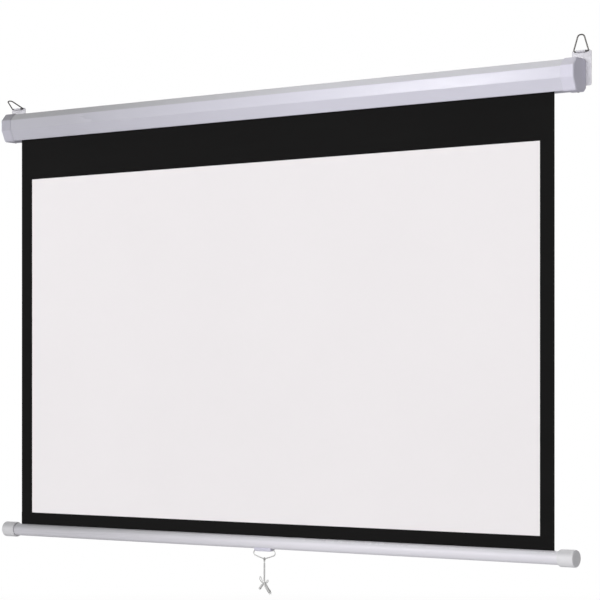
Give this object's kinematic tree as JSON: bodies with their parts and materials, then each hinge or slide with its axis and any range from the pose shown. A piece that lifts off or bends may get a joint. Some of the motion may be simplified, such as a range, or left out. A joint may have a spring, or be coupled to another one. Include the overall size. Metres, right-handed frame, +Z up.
{
  "type": "projection screen",
  "caption": "Manual pull-down projection screen with a spring roller in a white wall case, black-bordered white sheet, weight bar, wire pull handle and short cord.",
  "frame": {"origin": "middle of the case's flat back face, which lies on the wall", "axes": "+X along the case to the right as seen from the front, +Y into the wall, +Z up"},
  "size_m": [1.818, 0.0586, 1.3067],
  "materials": {
    "white_enamel": "smooth white enamel with a soft gloss",
    "cap_plastic": "moulded off-white plastic, satin",
    "zinc_steel": "zinc-plated sheet steel and screws",
    "wire_steel": "drawn steel wire and turned steel",
    "screen_white": "matt white coated screen cloth",
    "screen_black": "matt black masking border",
    "bare_aluminium": "extruded tube, bare",
    "nylon": "natural nylon",
    "bush_brass": "turned brass",
    "cord_cotton": "twisted cotton cord, off-white"
  },
  "bodies": {
    "case": {"case_shell": "white_enamel", "left_end_cap": "cap_plastic", "right_end_cap": "cap_plastic", "left_cap_screw_top": "zinc_steel", "left_cap_screw_bottom": "zinc_steel", "right_cap_screw_top": "zinc_steel", "right_cap_screw_bottom": "zinc_steel", "left_wall_plate": "zinc_steel", "right_wall_plate": "zinc_steel", "left_plate_screw_upper": "zinc_steel", "left_plate_screw_lower": "zinc_steel", "right_plate_screw_upper": "zinc_steel", "right_plate_screw_lower": "zinc_steel", "left_bearing_bush": "bush_brass", "spring_shaft": "wire_steel", "ratchet_wheel": "wire_steel", "spring_anchor": "wire_steel", "torsion_spring": "wire_steel", "screen_sheet": "screen_white", "masking_border": "screen_black"},
    "roller": {"roller_tube": "bare_aluminium", "wound_fabric": "screen_white", "left_roller_plug": "nylon", "left_gudgeon": "wire_steel", "pawl_carrier": "nylon", "upper_pawl_pin": "wire_steel", "lower_pawl_pin": "wire_steel", "spring_drive_plug": "nylon"},
    "upper_pawl": {"upper_pawl": "wire_steel"},
    "lower_pawl": {"lower_pawl": "wire_steel"},
    "weight_bar": {"weight_bar_tube": "white_enamel", "hem_rod": "wire_steel", "left_bar_cap": "cap_plastic", "right_bar_cap": "cap_plastic", "handle_clip": "cap_plastic", "clip_screw_left": "zinc_steel", "clip_screw_right": "zinc_steel"},
    "handle": {"wire_handle": "wire_steel"},
    "cord": {"cord_hitch": "cord_cotton", "pull_cord": "cord_cotton", "cord_bow": "cord_cotton"},
    "left_bail": {"left_hanger_bail": "wire_steel"},
    "right_bail": {"right_hanger_bail": "wire_steel"}
  },
  "joints": [
    {"name": "bar_slide", "type": "slide", "parent": "case", "child": "weight_bar", "axis": [0, 0, 1], "range_m": [0, 1.029], "deforming": ["screen_sheet", "masking_border"]},
    {"name": "roller_turn", "type": "hinge", "parent": "case", "child": "roller", "pos_m": [0, -0.0224, 0.004], "axis": [1, 0, 0], "range_deg": [-3400, 0]},
    {"name": "upper_pawl_hinge", "type": "hinge", "parent": "roller", "child": "upper_pawl", "pos_m": [0.8556, -0.0224, 0.0154], "axis": [1, 0, 0], "range_deg": [0, 30]},
    {"name": "lower_pawl_hinge", "type": "hinge", "parent": "roller", "child": "lower_pawl", "pos_m": [0.8556, -0.0224, -0.0074], "axis": [1, 0, 0], "range_deg": [0, 30]},
    {"name": "handle_swing", "type": "hinge", "parent": "weight_bar", "child": "handle", "pos_m": [0, -0.0386, -1.1078], "axis": [1, 0, 0], "range_deg": [-80, 80]},
    {"name": "cord_swing", "type": "hinge", "parent": "handle", "child": "cord", "pos_m": [0, -0.0386, -1.1298], "axis": [1, 0, 0], "range_deg": [-60, 60]},
    {"name": "left_bail_hinge", "type": "hinge", "parent": "case", "child": "left_bail", "pos_m": [-0.884, -0.004, 0.055], "axis": [1, 0, 0], "range_deg": [-60, 35]},
    {"name": "right_bail_hinge", "type": "hinge", "parent": "case", "child": "right_bail", "pos_m": [0.884, -0.004, 0.055], "axis": [1, 0, 0], "range_deg": [0, 95]}
  ],
  "couplings": [
    {"joint": "roller_turn", "follows": "bar_slide", "rad_per_m": -57}
  ]
}
